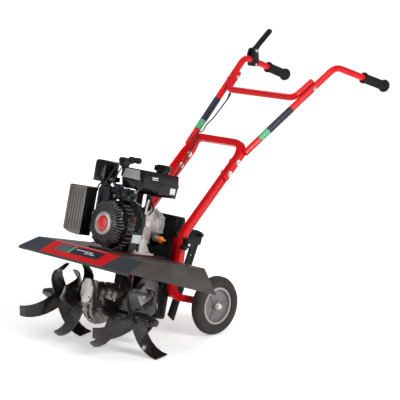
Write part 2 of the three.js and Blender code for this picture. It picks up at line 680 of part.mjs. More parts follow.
// ---------------------------------------------------------------- drag stake
const STAKE = { topY: 438, topZ: 312, lowY: 368.7, lowZ: -28.9, half: 18, thick: 8 };
const stakeDown = new THREE.Vector2(STAKE.lowY - STAKE.topY, STAKE.lowZ - STAKE.topZ);
const stakeUnit = stakeDown.clone().normalize();
const onStake = (distance, across) => [
  STAKE.topY + stakeUnit.x * distance - stakeUnit.y * across,
  STAKE.topZ + stakeUnit.y * distance + stakeUnit.x * across,
];
const stakeLength = stakeDown.length();
const stakeShape = polygon([
  onStake(0, -STAKE.half), onStake(0, STAKE.half),
  onStake(stakeLength, STAKE.half), onStake(stakeLength - 12, -STAKE.half),
]);
const STAKE_HOLES = [14, 96, 137, 178];
const stakeHoles = STAKE_HOLES.slice(1).map((distance) => {
  const [y, z] = onStake(distance, 0);
  return barX(-10, 10, y, z, 5, 12);
});
const [pinY, pinZ] = onStake(STAKE_HOLES[0], 0);
const stakePin = join(
  barX(-21, 21, pinY, pinZ, 5, 12),
  barX(20, 26, pinY, pinZ, 9, 6),
  barX(-26, -20, pinY, pinZ, 9, 6),
);
const stakeBar = plate("yz", stakeShape, -STAKE.thick / 2, STAKE.thick / 2);
add(chassis, "drag_stake", BLACK_PAINT, join(cut(stakeBar, ...stakeHoles), stakePin));

// The bracket: two cheeks beside the stake, carried by arms from the legs. The pin drops into
// notches that are open at the top.
const bracketParts = [];
for (const side of [-1, 1]) {
  const cheekIn = side * (STAKE.thick / 2 + 1);
  const cheekOut = side * (STAKE.thick / 2 + 6);
  const [low, high] = [Math.min(cheekIn, cheekOut), Math.max(cheekIn, cheekOut)];
  const cheekShape = softPolygon([
    [388, 250], [384, 292], [396, 312], [418, 316], [452, 302], [452, 262],
  ], 8);
  bracketParts.push(plate("yz", cheekShape, low, high, 3));
  bracketParts.push(sheet([
    [side * 79, 268, 250], [side * 7.5, 392, 250], [side * 7.5, 400, 250], [side * 83, 272, 250],
  ].map(([x, y, z]) => [x, y, z]), [0, 0, 26]));
  const [padLow, padHigh] = side > 0 ? [76, 83] : [-83, -76];
  bracketParts.push(box(padLow, padHigh, 226, 272, 250, 280));
}
bracketParts.push(box(-10, 10, 388, 396, 252, 300));
const notch = plate("yz", polygon([
  [pinY - 5.8, pinZ - 5.8], [pinY + 5.8, pinZ - 5.8], [pinY + 5.8 + 6, 330], [pinY - 5.8 + 3, 330],
]), -12, 12);
const bracketKnobHole = (() => {
  const y = KNOB.y * Math.cos(PITCH) - KNOB.z * Math.sin(PITCH);
  const z = KNOB.y * Math.sin(PITCH) + KNOB.z * Math.cos(PITCH);
  return barX(70, 90, y, z, 5.6, 12);
})();
add(chassis, "stake_bracket", BLACK_PAINT, cut(join(...bracketParts), notch, bracketKnobHole));

// ---------------------------------------------------------------- engine
const CASE_Z = 318; // centre of the round case cover
const SEAT_Z = DECK_Z + 4.6 + GAP;
const caseParts = [
  barY(92, 180, 0, CASE_Z, 47, 32),
  barY(180, 189, 0, CASE_Z, 52, 32),
  barY(193, 204, 0, CASE_Z, 52, 32),
  barY(188, 194, 0, CASE_Z, 46, 32),
  box(-50, 52, 38, 140, 246, 362),
  barX(30, 58, 184, 268, 11, 16),
];
for (const side of [-1, 1]) {
  const [x0, x1] = side > 0 ? [34, 66] : [-66, -34];
  const [f0, f1] = side > 0 ? [30, 76] : [-76, -30];
  caseParts.push(box(x0, x1, 84, 118, 212, 262));
  caseParts.push(box(f0, f1, 60, 150, SEAT_Z, 215));
}
const crankBore = barY(0, 260, 0, CRANK_Z, CRANK_RADIUS + GAP, 20);
const dipBore = barX(44, 60, 184, 268, 6.4, 12);
add(chassis, "crankcase", ALUMINIUM, cut(join(...caseParts), crankBore, dipBore));
add(chassis, "crankshaft", STEEL, barY(-22, 256, 0, CRANK_Z, CRANK_RADIUS, 20));

const fins = [];
for (let i = 0; i < 9; i++) {
  const x = -62 - 10 * i;
  fins.push(box(x - 1.4, x + 1.4, 34, 112, 262, 364));
}
add(chassis, "cylinder", ALUMINIUM, join(box(-150, -50.5, 46, 100, 276, 350), ...fins));
const plugParts = join(
  barX(-154, -150.5, 73, 313, 11, 6),
  barX(-172, -153.5, 73, 313, 7, 12),
  barX(-192, -171, 73, 313, 11, 14),
);
add(chassis, "spark_plug", RUBBER, plugParts);

const housingOut = join(
  barY(-11, 27, 0, CRANK_Z, 86, 32),
  box(-94, -40, -3, 27, 232, 372),
  box(70, 88, -2, 22, 316, 344),
);
const housingIn = join(
  barY(-12, 23, 0, CRANK_Z, 82, 32),
  box(-90, -40, 1, 30, 236, 368),
  barY(20, 30, 0, CRANK_Z, 30, 24),
);
add(chassis, "blower_housing", PLASTIC, cut(housingOut, housingIn));

const recoilProfile = [
  [0, -52], [34, -52], [62, -47], [76, -34], [79, -11.5], [75.5, -11.5],
  [72.5, -32], [60, -43.5], [33, -48.5], [0, -48.5],
];
const recoilBoss = join(bar([-46, -32, 352], [-55, -34, 367], 9, 12), box(-58, -40, -40, -24, 346, 358));
const ropeHole = bar([-42, -31, 346], [-60, -35, 374], 3.4, 10);
const recoilShell = turned("y", recoilProfile, [0, 0, CRANK_Z], 32);
add(chassis, "recoil_cover", PLASTIC, cut(join(recoilShell, recoilBoss), ropeHole));

const flywheelParts = [barY(0, 12, 0, CRANK_Z, 72, 32), barY(-16, 2, 0, CRANK_Z, 24, 24)];
for (let i = 0; i < 12; i++) {
  const angle = (2 * Math.PI * i) / 12;
  const [c, s] = [Math.cos(angle), Math.sin(angle)];
  flywheelParts.push(sheet([
    [42 * c - s, -8, CRANK_Z + 42 * s + c], [70 * c - s, -8, CRANK_Z + 70 * s + c],
    [70 * c - s, 2, CRANK_Z + 70 * s + c], [42 * c - s, 2, CRANK_Z + 42 * s + c],
  ], [2.4 * s, 0, -2.4 * c]));
}
const flywheelBore = barY(-30, 5, 0, CRANK_Z, CRANK_RADIUS + GAP, 20);
add(chassis, "flywheel", ALUMINIUM, cut(join(...flywheelParts), crankBore, flywheelBore));

const tankProfile = [
  [30, 506], [214, 502], [221, 464], [215, 420], [124, 418.4], [106, 431], [34, 433], [26, 464],
];
const tankSection = (x, inset) => {
  const middle = [112, 464];
  return tankProfile.map(([y, z]) => [
    x,
    y + (y > middle[0] ? -inset : inset),
    z + (z > middle[1] + 1 ? -inset : z < middle[1] - 1 ? inset : 0),
  ]);
};
const tankBody = loft([tankSection(-30, 9), tankSection(-22, 0), tankSection(72, 0), tankSection(81, 9)]);
const guide = join(box(-32, -22, 28, 39, 470, 524), barX(-35, -20, 33, 527, 8, 16));
const guideBore = barX(-40, -15, 33, 527, 4.4, 12);
const tankLegs = join(box(-24, -14, 116, 138, 363.8, 424), box(24, 34, 116, 138, 363.8, 424));
const neck = barZ(498, 510, 40, 160, 24, 24);
add(chassis, "fuel_tank", PLASTIC, cut(join(tankBody, neck, guide, tankLegs), guideBore));

const capParts = [barZ(510.5, 531, 40, 160, 30, 28)];
for (let i = 0; i < 10; i++) {
  const angle = (2 * Math.PI * i) / 10;
  capParts.push(barZ(512, 529, 40 + 30 * Math.cos(angle), 160 + 30 * Math.sin(angle), 3.2, 8));
}
capParts.push(barZ(530, 534, 40, 160, 22, 24));
add(chassis, "fuel_cap", PLASTIC, join(...capParts));

const PULL = [0, 0.829, 0.5592]; // the way the rope is pulled
const GRASP = [28, 27, 534];
const alongPull = (distance) => GRASP.map((value, axis) => value + PULL[axis] * distance);
const handleBar = join(bar([2, 27, 534], [54, 27, 534], 9.5, 14), bar(GRASP, alongPull(-17), 7, 12));
const starterHandle = cut(handleBar, bar(alongPull(-20), alongPull(-9), 3.6, 10));
add(chassis, "starter_handle", PLASTIC, starterHandle);

const ROPE = [
  [-52.3, -33.3, 362], [-56.4, -34.2, 368.4], [-60, -34, 378], [-64, -28, 400], [-61, -16, 434],
  [-55, 0, 470], [-48, 16, 504], [-42, 28, 522], [-35, 33, 527], [-20, 33, 527], [-12, 26, 527],
  [-4, 13, 521], [8, 2, 514], [20, -0.5, 512], [27, 3.6, 517], [28, 9.6, 522.3], [28, 16.4, 526.9],
];
const ropePath = new THREE.CatmullRomCurve3(ROPE.map((point) => new THREE.Vector3(...point)));
const ropeTube = sweep(ropePath.getPoints(34), new THREE.Shape(ring(6, 2.6)));
add(chassis, "starter_rope", RUBBER, ropeTube);

const airOutline = softPolygon([[-150, 438], [-94, 438], [-94, 508], [-104, 516], [-140, 516], [-150, 508]], 5);
const airBody = plate("xz", airOutline, 6, 70, 3);
add(chassis, "air_cleaner", PLASTIC, join(airBody, box(-95, -62, 26, 56, 444, 462)));

const carbParts = join(
  box(-56, 6, 34, 74, 394, 426),
  barX(-60, 24, 54, 412, 15, 16),
  barZ(372, 396, -22, 54, 17, 18),
  box(-60, -40, 30, 60, 424, 440),
  box(-50, 74, 22, 25, 388, 430),
  box(-30, 0, 24, 40, 400, 424),
);
add(chassis, "carburetor", ALUMINIUM, carbParts);

// Small control levers: a boss on the control plate and an arm.
function controlLever(name, material, x, z, angle, length) {
  const turn = THREE.MathUtils.degToRad(angle);
  const reach = (y, along) => [x + along * Math.cos(turn), y, z + along * Math.sin(turn)];
  const parts = join(
    barY(10, 21.6, x, z, 6, 14),
    bar(reach(15, 0), reach(15, length), 3.4, 8),
    bar(reach(12, length - 3), reach(12, length + 4), 5.5, 10),
  );
  return add(chassis, name, material, parts);
}
controlLever("choke_lever", PLASTIC, -20, 414, 150, 20);
controlLever("throttle_lever", PLASTIC, 30, 414, 60, 14);
controlLever("fuel_valve", PLASTIC, 58, 402, -60, 12);

const muffler = softPolygon([[-194, 262], [-120, 262], [-120, 398], [-194, 398]], 18);
const mufflerShell = cut(
  join(plate("xz", muffler, -40, 2, 3), box(-146, -122, 0, 33, 300, 330)),
  box(-190, -124, -36, -2, 280, 382),
  barX(-200, -185, -20, 296, 8, 14),
);
add(chassis, "muffler", STEEL, mufflerShell);

const SHIELD_BOX = { left: -204, right: -112, front: -50, back: 2, low: 240, top: 415 };
const { left, right, front, back, low, top } = SHIELD_BOX;
const shieldFace = softPolygon([
  [left, low + 10], [left + 30, low], [right, low - 4], [right, top], [left, top - 3],
], 8);
const ribs = [];
for (let i = 0; i < 6; i++) {
  const x = left + 11 + i * 14;
  ribs.push(box(x - 3, x + 3, front - 2.5, front + 1, low + 14, top - 12));
}
const boxShell = cut(
  plate("xz", shieldFace, front, back, 3),
  box(left + 3, right - 3, front + 3, back + 1, low - 10, top - 4),
);
add(chassis, "muffler_shield", HEAT_BLACK, join(boxShell, ...ribs));

const dipstick = join(
  barX(46, 60, 184, 268, 6, 12),
  barX(58.5, 70, 184, 268, 11.5, 16),
  box(69, 80, 173, 195, 265, 271),
);
add(chassis, "dipstick", ORANGE, dipstick);

const stopSwitch = join(barX(88.4, 96, 10, 330, 8, 16), box(95, 101, 8, 12, 321, 339));
add(chassis, "stop_switch", finish(0xb01818, 0.4, 0), stopSwitch);

// ---------------------------------------------------------------- stand it on the ground
const bounds = new THREE.Box3().setFromObject(tiller, true);
const centre = bounds.getCenter(new THREE.Vector3());
tiller.position.set(-centre.x, -centre.y, -bounds.min.z);

export default tiller;
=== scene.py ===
# The garden tiller's visual model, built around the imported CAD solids.
# Shapes are given in millimetres in two frames that share the tine shaft's axis as X:
# LEVEL stands square on the ground, and CHASSIS leans with the engine and the gearbox.
import json
import math

import bmesh
import bpy
from mathutils import Matrix, Vector


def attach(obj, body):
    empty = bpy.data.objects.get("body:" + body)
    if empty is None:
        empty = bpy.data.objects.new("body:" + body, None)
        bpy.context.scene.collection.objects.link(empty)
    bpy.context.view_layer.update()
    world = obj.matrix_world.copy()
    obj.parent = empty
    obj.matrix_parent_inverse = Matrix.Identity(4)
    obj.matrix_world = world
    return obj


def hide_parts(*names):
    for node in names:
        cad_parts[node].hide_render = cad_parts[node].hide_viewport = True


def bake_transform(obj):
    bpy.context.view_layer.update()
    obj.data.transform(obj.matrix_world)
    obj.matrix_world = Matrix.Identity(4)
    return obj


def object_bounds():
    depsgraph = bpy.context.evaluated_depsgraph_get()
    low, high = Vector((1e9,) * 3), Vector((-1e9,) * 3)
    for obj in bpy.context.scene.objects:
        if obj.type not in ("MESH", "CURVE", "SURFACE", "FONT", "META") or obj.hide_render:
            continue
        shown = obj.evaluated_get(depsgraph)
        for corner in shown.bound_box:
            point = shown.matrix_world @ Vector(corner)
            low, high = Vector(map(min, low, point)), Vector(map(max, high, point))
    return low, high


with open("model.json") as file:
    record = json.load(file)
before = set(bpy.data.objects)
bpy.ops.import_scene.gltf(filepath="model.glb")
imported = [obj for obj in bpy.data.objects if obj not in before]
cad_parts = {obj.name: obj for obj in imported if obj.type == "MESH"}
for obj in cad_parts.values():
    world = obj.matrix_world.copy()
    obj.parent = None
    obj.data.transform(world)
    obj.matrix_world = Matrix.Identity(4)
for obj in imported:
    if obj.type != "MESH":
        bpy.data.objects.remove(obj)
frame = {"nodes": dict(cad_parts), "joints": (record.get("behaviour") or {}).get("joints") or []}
cad_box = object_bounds()
NODES = frame["nodes"]
JOINTS = {joint["name"]: joint for joint in frame["joints"]}

# ---------------------------------------------------------------- the two frames
SHAFT = Vector(JOINTS["tine_spin"]["pos_m"])
BACK = Vector(JOINTS["crank_spin"]["axis"]).normalized()
UP = Vector((1, 0, 0)).cross(BACK)
TURN = Matrix((Vector((1, 0, 0)), BACK, UP)).transposed().to_4x4()
MM = Matrix.Scale(0.001, 4)
LEVEL = Matrix.Translation(SHAFT) @ MM
CHASSIS = Matrix.Translation(SHAFT) @ TURN @ MM


def span(node, space):
    """A CAD node's lowest and highest corners in a frame's own millimetres."""
    inverse = space.inverted()
    points = [inverse @ v.co for v in NODES[node].data.vertices]
    low = Vector([min(p[i] for p in points) for i in range(3)])
    high = Vector([max(p[i] for p in points) for i in range(3)])
    return low, high


# ---------------------------------------------------------------- camera, light and floor
GROUND = cad_box[0][2]
AIM = Vector((0, -0.0621, 0.4548))
LIT_POINT = Vector((0, 0, 0.4))
AZIMUTH, ELEVATION, DISTANCE = math.radians(45.105), math.radians(11.626), 5.7874
camera_data = bpy.data.cameras.new("camera")
camera_data.lens = 139.6
camera_data.sensor_width = 36
camera_data.clip_end = 100
camera = bpy.data.objects.new("camera", camera_data)
toward = Vector((
    math.sin(AZIMUTH) * math.cos(ELEVATION),
    -math.cos(AZIMUTH) * math.cos(ELEVATION),
    math.sin(ELEVATION),
))
camera.location = AIM + toward * DISTANCE
camera.rotation_euler = (-toward).to_track_quat("-Z", "Y").to_euler()
bpy.context.scene.collection.objects.link(camera)
bpy.context.scene.camera = camera


def area_light(name, place, power, size):
    data = bpy.data.lights.new(name, "AREA")
    data.energy = power
    data.size = size
    lamp = bpy.data.objects.new(name, data)
    lamp.location = place
    aim = LIT_POINT - Vector(place)
    lamp.rotation_euler = aim.to_track_quat("-Z", "Y").to_euler()
    bpy.context.scene.collection.objects.link(lamp)


area_light("key", (4.4, -0.6, 2.8), 150, 1.4)
area_light("top", (0.2, -0.6, 4.0), 45, 2.4)
area_light("left", (-2.0, -4.2, 1.6), 36, 1.6)
area_light("back", (-2.2, 3.2, 2.6), 30, 2.0)

world = bpy.data.worlds.new("world")
world.use_nodes = True
world_nodes, world_links = world.node_tree.nodes, world.node_tree.links
sky = world_nodes["Background"]
sky.inputs["Color"].default_value = (1, 1, 1, 1)
seen = world_nodes.new("ShaderNodeLightPath")
brightness = world_nodes.new("ShaderNodeMapRange")
brightness.inputs["To Min"].default_value = 0.24
brightness.inputs["To Max"].default_value = 1.0
world_links.new(seen.outputs["Is Camera Ray"], brightness.inputs["Value"])
world_links.new(brightness.outputs["Result"], sky.inputs["Strength"])
bpy.context.scene.world = world
bpy.context.scene.view_settings.view_transform = "Standard"


# ---------------------------------------------------------------- materials
class Shader:
    """A material's node tree with short calls for the nodes used here."""

    def __init__(self, name):
        self.material = bpy.data.materials.new(name)
        self.material.use_nodes = True
        self.tree = self.material.node_tree
        self.shader = self.tree.nodes["Principled BSDF"]
        self.place = self.tree.nodes.new("ShaderNodeTexCoord").outputs["Object"]

    def link(self, output, target):
        self.tree.links.new(output, target)

    def stretched(self, x, y, z):
        mapping = self.tree.nodes.new("ShaderNodeMapping")
        mapping.inputs["Scale"].default_value = (x, y, z)
        self.link(self.place, mapping.inputs["Vector"])
        return mapping.outputs["Vector"]

    def noise(self, scale, detail=3, vector=None):
        node = self.tree.nodes.new("ShaderNodeTexNoise")
        node.inputs["Scale"].default_value = scale
        node.inputs["Detail"].default_value = detail
        self.link(vector or self.place, node.inputs["Vector"])
        return node.outputs["Fac"]

    def ramp(self, value, low, high, start=0.0, end=1.0):
        node = self.tree.nodes.new("ShaderNodeMapRange")
        node.inputs["From Min"].default_value = low
        node.inputs["From Max"].default_value = high
        node.inputs["To Min"].default_value = start
        node.inputs["To Max"].default_value = end
        self.link(value, node.inputs["Value"])
        return node.outputs["Result"]

    def mix(self, factor, a, b):
        node = self.tree.nodes.new("ShaderNodeMix")
        node.data_type = "RGBA"
        self.link(factor, node.inputs["Factor"])
        for socket, value in ((node.inputs["A"], a), (node.inputs["B"], b)):
            if isinstance(value, tuple):
                socket.default_value = (*value, 1)
            else:
                self.link(value, socket)
        return node.outputs["Result"]

    def bump(self, height, strength, distance):
        node = self.tree.nodes.new("ShaderNodeBump")
        node.inputs["Strength"].default_value = strength
        node.inputs["Distance"].default_value = distance
        self.link(height, node.inputs["Height"])
        self.link(node.outputs["Normal"], self.shader.inputs["Normal"])


def finish(name, colour, rough, metal=0.0, vary=0.1, patch=14, grain=700, bump=0.1,
           depth=0.0003, coat=0.0, shine=0.5, streak=(1, 1, 1)):
    """A painted, moulded or bare surface: uneven colour, uneven gloss and a fine grain."""
    s = Shader(name)
    darker = tuple(c * (1 - vary) for c in colour)
    lighter = tuple(min(1, c * (1 + vary) + 0.004) for c in colour)
    tint = s.mix(s.ramp(s.noise(patch, 3, s.stretched(*streak)), 0.3, 0.7), darker, lighter)
    s.link(tint, s.shader.inputs["Base Color"])
    gloss = s.ramp(s.noise(patch * 4, 5), 0.3, 0.7, rough * 0.82, min(1, rough * 1.22))
    s.link(gloss, s.shader.inputs["Roughness"])
    s.shader.inputs["Metallic"].default_value = metal
    s.shader.inputs["Specular IOR Level"].default_value = shine
    s.shader.inputs["Coat Weight"].default_value = coat
    s.shader.inputs["Coat Roughness"].default_value = 0.08
    s.bump(s.noise(grain, 4), bump, depth)
    return s.material


RED = finish("red_gloss_paint", (0.60, 0.003, 0.007), 0.30, vary=0.05, bump=0.0, coat=0.06, shine=0.16)
BLACK_PAINT = finish("black_satin_paint", (0.006, 0.006, 0.006), 0.34, vary=0.2, bump=0.02, shine=0.14)
CHARCOAL = finish(
    "charcoal_powder_coat", (0.050, 0.043, 0.039), 0.46,
    grain=1400, bump=0.12, depth=0.0002, shine=0.22,
)
# Painted shade: a darker, bluer copy of the charcoal coat, for the shield's front slope in shade.
CHARCOAL_PAINTED_SHADE = finish(
    "charcoal_painted_shade", (0.032, 0.040, 0.048), 0.44,
    vary=0.08, grain=1400, bump=0.1, depth=0.0002, shine=0.3,
)
TINE = finish(
    "tine_black", (0.015, 0.012, 0.010), 0.24,
    metal=0.1, vary=0.25, bump=0.015, coat=0.22, shine=0.28,
)
HEAT_BLACK = finish("heat_black", (0.17, 0.155, 0.143), 0.36, metal=0.55, vary=0.15, bump=0.05)
PLASTIC = finish(
    "black_gloss_plastic", (0.005, 0.005, 0.005), 0.16,
    vary=0.2, bump=0.0, coat=0.2, shine=0.16,
)
SOFT_PLASTIC = finish(
    "black_grained_plastic", (0.008, 0.008, 0.008), 0.46,
    vary=0.15, grain=1100, bump=0.2, shine=0.16,
)
GRIP = finish("grip_rubber", (0.008, 0.007, 0.007), 0.60, vary=0.15, grain=1500, bump=0.4, shine=0.15)
RUBBER = finish("cord_rubber", (0.008, 0.008, 0.008), 0.5, vary=0.2, grain=1200, bump=0.2, shine=0.3)
TYRE = finish(
    "tyre_rubber", (0.028, 0.024, 0.021), 0.66,
    vary=0.2, patch=20, grain=900, bump=0.3, shine=0.25,
)
RIM = finish("rim_plastic", (0.17, 0.16, 0.155), 0.42, vary=0.08, grain=900, bump=0.1, shine=0.3)
RIM_PALE = finish("rim_pale_ring", (0.38, 0.37, 0.36), 0.4, vary=0.06, bump=0.05)
STEEL = finish("bare_steel", (0.50, 0.49, 0.47), 0.32, metal=0.95, vary=0.12, bump=0.1, streak=(1, 8, 1))
ZINC = finish("zinc_plate", (0.66, 0.64, 0.59), 0.28, metal=0.9, vary=0.1, patch=60, bump=0.05)
CASTING = finish(
    "cast_aluminium", (0.62, 0.60, 0.57), 0.40,
    metal=0.7, vary=0.06, patch=30, grain=500, bump=0.3, depth=0.0004,
)
PALE_CAP = finish("pale_cast_cap", (0.66, 0.63, 0.59), 0.5, metal=0.3, vary=0.06, patch=40, bump=0.2)
BRONZE = finish("bronze", (0.55, 0.33, 0.12), 0.34, metal=0.9, vary=0.15)
ORANGE = finish("orange_plastic", (0.85, 0.22, 0.015), 0.38, vary=0.08, bump=0.05, coat=0.2)
RED_PLASTIC = finish("red_plastic", (0.66, 0.010, 0.014), 0.3, vary=0.06, bump=0.02, coat=0.2)
DARK_CAST = finish("dark_cast", (0.030, 0.033, 0.040), 0.34, metal=0.4, vary=0.3, patch=60, bump=0.2)
# Painted highlight: a grey standing for the light caught by the black plastic fins and vents.
FIN_PAINTED_HIGHLIGHT = finish("fin_painted_highlight", (0.075, 0.072, 0.070), 0.34, vary=0.15, bump=0.03, coat=0.3)
RING_GREY = finish("ring_grey", (0.36, 0.34, 0.33), 0.30, metal=0.5, vary=0.08, bump=0.02)
# Painted reflection: a light grey standing for the glossy black tank front reflecting the light above it.
PAINTED_REFLECTION_GREY = finish("painted_reflection_grey", (0.27, 0.275, 0.285), 0.22, vary=0.3, patch=9, bump=0.01, coat=0.4)
DARK_RED = finish("dark_red_plastic", (0.10, 0.008, 0.010), 0.35, vary=0.06, bump=0.03)
BROWN_ALLOY = finish(
    "brown_alloy", (0.20, 0.17, 0.15), 0.30,
    metal=0.75, vary=0.3, patch=22, bump=0.15, coat=0.3,
)
# Painted shade: the frame's red paint darkened where the engine shades the deck.
RED_PAINTED_SHADE = finish("red_painted_shade", (0.075, 0.006, 0.008), 0.34, vary=0.1, bump=0.05)
PALE_PRINT = finish("pale_print", (0.62, 0.64, 0.66), 0.4, vary=0.05, bump=0.02)
NAVY_PRINT = finish("navy_print", (0.013, 0.018, 0.032), 0.34, vary=0.1, bump=0.01, shine=0.3)
SLATE_PRINT = finish("slate_print", (0.075, 0.10, 0.13), 0.34, vary=0.1, bump=0.02)
GREEN_PRINT = finish("green_print", (0.08, 0.36, 0.17), 0.35, vary=0.06, bump=0.02)
FLOOR = finish("floor", (0.92, 0.92, 0.92), 0.8, vary=0.002, patch=1, grain=40, bump=0.01)


def glow(material, near, far, low, high):
    """The sweep under the object: its own light grows with the distance from the middle."""
    tree = material.node_tree
    spot = tree.nodes.new("ShaderNodeTexCoord").outputs["Object"]
    length = tree.nodes.new("ShaderNodeVectorMath")
    length.operation = "LENGTH"
    tree.links.new(spot, length.inputs[0])
    fade = tree.nodes.new("ShaderNodeMapRange")
    fade.interpolation_type = "SMOOTHSTEP"
    for socket, value in (("From Min", near), ("From Max", far), ("To Min", low), ("To Max", high)):
        fade.inputs[socket].default_value = value
    tree.links.new(length.outputs["Value"], fade.inputs["Value"])
    shader = tree.nodes["Principled BSDF"]
    shader.inputs["Emission Color"].default_value = (1, 1, 1, 1)
    tree.links.new(fade.outputs["Result"], shader.inputs["Emission Strength"])


glow(FLOOR, 0.5, 2.4, 0.42, 0.80)


# ---------------------------------------------------------------- building pieces
def soften(obj, bevel, angle=32):
    """Rounds an object's hard edges and shades the rest smooth."""
    if bevel:
        weld = obj.modifiers.new("weld", "WELD")
        weld.merge_threshold = 0.00002
        round_edges = obj.modifiers.new("round", "BEVEL")
        round_edges.width = bevel
        round_edges.segments = 2
        round_edges.limit_method = "ANGLE"
        round_edges.angle_limit = math.radians(angle)
        round_edges.harden_normals = True
    for polygon in obj.data.polygons:
        polygon.use_smooth = True
    obj.data.set_sharp_from_angle(angle=math.radians(angle))
    return obj


def dress(names, material, bevel=0.0008, angle=32):
    """Gives CAD nodes their material and rounds their edges."""
    for name in names.split():
        obj = NODES[name]
        obj.data.materials.clear()
        obj.data.materials.append(material)
        soften(obj, bevel, angle)


class Build:
    """Collects closed shapes in one mesh, in millimetres."""

    def __init__(self):
        self.bm = bmesh.new()

    def faces(self, points, faces):
        verts = [self.bm.verts.new(p) for p in points]
        for face in faces:
            self.bm.faces.new([verts[i] for i in face])
        return self

    def loft(self, sections, closed=False):
        n, m = len(sections[0]), len(sections)
        points = [p for section in sections for p in section]
        faces = []
        for k in range(m if closed else m - 1):
            a, b = k * n, (k + 1) % m * n
            faces += [(a + i, a + (i + 1) % n, b + (i + 1) % n, b + i) for i in range(n)]
        if not closed:
            faces += [tuple(range(n - 1, -1, -1)), tuple(range((m - 1) * n, m * n))]
        return self.faces(points, faces)

    def prism(self, axis, outline, low, high):
        def spot(a, b, c):
            return {"x": (c, a, b), "y": (a, c, b), "z": (a, b, c)}[axis]
        return self.loft([[spot(a, b, c) for a, b in outline] for c in (low, high)])

    def box(self, x0, x1, y0, y1, z0, z1):
        return self.prism("z", [(x0, y0), (x1, y0), (x1, y1), (x0, y1)], z0, z1)

    def lathe(self, axis, profile, centre, sides=48, shape=None):
        """A closed [radius, along] profile turned about an axis; shape(angle, radius) may vary the radius."""
        sections = []
        for i in range(sides):
            angle = 2 * math.pi * i / sides
            ring = []
            for radius, along in profile:
                r = shape(angle, radius) if shape else radius
                a, b = r * math.cos(angle), r * math.sin(angle)
                p = {"x": (along, a, b), "y": (a, along, b), "z": (a, b, along)}[axis]
                ring.append(tuple(p[k] + centre[k] for k in range(3)))
            sections.append(ring)
        return self.loft(sections, closed=True)

    def rod(self, a, b, radius, sides=24, end=None):
        """A round bar with both of its ends closed; six sides make a hexagon."""
        a, b = Vector(a), Vector(b)
        along = (b - a).normalized()
        side = along.orthogonal().normalized()
        other = along.cross(side)
        rings = []
        for centre, r in ((a, radius), (b, radius if end is None else end)):
            rings.append([
                centre + side * (r * math.cos(t)) + other * (r * math.sin(t))
                for t in (2 * math.pi * i / sides for i in range(sides))
            ])
        return self.loft(rings)

    def sweep(self, points, radius, sides=14):
        """A round cord through points, with radius a number or a function of the share of the way."""
        points = [Vector(p) for p in points]
        rings, side = [], None
        for i, p in enumerate(points):
            before, after = points[max(i - 1, 0)], points[min(i + 1, len(points) - 1)]
            along = (after - before).normalized()
            side = (side - along * side.dot(along)).normalized() if side else along.orthogonal().normalized()
            other = along.cross(side)
            r = radius(i / (len(points) - 1)) if callable(radius) else radius
            rings.append([
                p + side * (r * math.cos(t)) + other * (r * math.sin(t))
                for t in (2 * math.pi * k / sides for k in range(sides))
            ])
        return self.loft(rings)

    def bolt(self, place, way, across=10.0, height=5.0, washer=True):
        """A hex head on its washer, standing off a surface along `way`."""
        place, way = Vector(place), Vector(way).normalized()
        if washer:
            self.rod(place - way * 0.5, place + way * 1.2, across * 0.92, 20)
        self.rod(place, place + way * (height + 0.8), across / math.sqrt(3), 6)
        self.rod(place + way * height, place + way * (height + 1.3), across * 0.40, 16, across * 0.30)
        return self

    def done(self, name, body, material, space=CHASSIS, bevel=0.6, angle=32, replaces=()):
        """The mesh as a piece of the object, riding on a body, or on none when no body is given."""
        bmesh.ops.recalc_face_normals(self.bm, faces=self.bm.faces)
        mesh = bpy.data.meshes.new(name)
        self.bm.to_mesh(mesh)
        self.bm.free()
        mesh.transform(space)
        obj = bpy.data.objects.new(name, mesh)
        bpy.context.scene.collection.objects.link(obj)
        mesh.materials.append(material)
        soften(obj, bevel * 0.001, angle)
        if body:
            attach(obj, body)
        if replaces:
            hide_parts(*replaces)
        return obj


def catmull(points, steps=8):
    """A smooth line through points."""
    points = [Vector(p) for p in points]
    ends = [points[0] * 2 - points[1]] + points + [points[-1] * 2 - points[-2]]
    line = []
    for i in range(1, len(ends) - 2):
        p0, p1, p2, p3 = ends[i - 1:i + 3]
        for k in range(steps):
            t = k / steps
            line.append(0.5 * (
                p1 * 2 + (p2 - p0) * t + (p0 * 2 - p1 * 5 + p2 * 4 - p3) * t * t
                + (p1 * 3 - p0 - p2 * 3 + p3) * t ** 3
            ))
    return line + [points[-1]]


# ---------------------------------------------------------------- CAD nodes with their materials
dress("lower_handle wheel_carrier", RED, 0.0022)
dress("upper_handle_left upper_handle_right handle_brace", RED, 0.0, 40)
dress("engine_frame", RED, 0.001)
dress("gearbox_hanger drag_stake stake_bracket belt_cover", BLACK_PAINT, 0.0012)
dress("shield", CHARCOAL, 0.0008, 12)
dress("tine_outer_left tine_inner_left tine_inner_right tine_outer_right", TINE, 0.0008, 30)
dress("muffler_shield", HEAT_BLACK, 0.0015)
dress("tine_shaft", TINE, 0.0006)
dress("worm_shaft drive_pulley driven_pulley idler_arm idler_pulley crankshaft", STEEL, 0.0006)
dress("muffler", STEEL, 0.0012)
dress("handle_bolts_left handle_bolts_right wheel_bolt_left wheel_bolt_right", ZINC, 0.0006)
dress("gearbox_left gearbox_right", BROWN_ALLOY, 0.0012)
dress("crankcase cylinder flywheel", CASTING, 0.0012)
dress("carburetor", DARK_CAST, 0.0012)
dress("gearbox_cap", PALE_CAP, 0.0015)
dress("worm_wheel", BRONZE, 0.0004)
dress("blower_housing fuel_tank air_cleaner starter_handle", PLASTIC, 0.002)
dress("carrier_knob clutch_lever lever_bracket choke_lever throttle_lever fuel_valve", SOFT_PLASTIC, 0.0015)
dress("stop_switch", DARK_RED, 0.001)
dress("dipstick", ORANGE, 0.0015)
dress("spark_plug drive_belt", RUBBER, 0.0008)
dress("starter_rope clutch_cable recoil_cover fuel_cap", PLASTIC, 0.0)
dress("rim_left rim_right", RIM, 0.0)
dress("tyre_left tyre_right", TYRE, 0.0)
dress("grip_left grip_right", GRIP, 0.0)

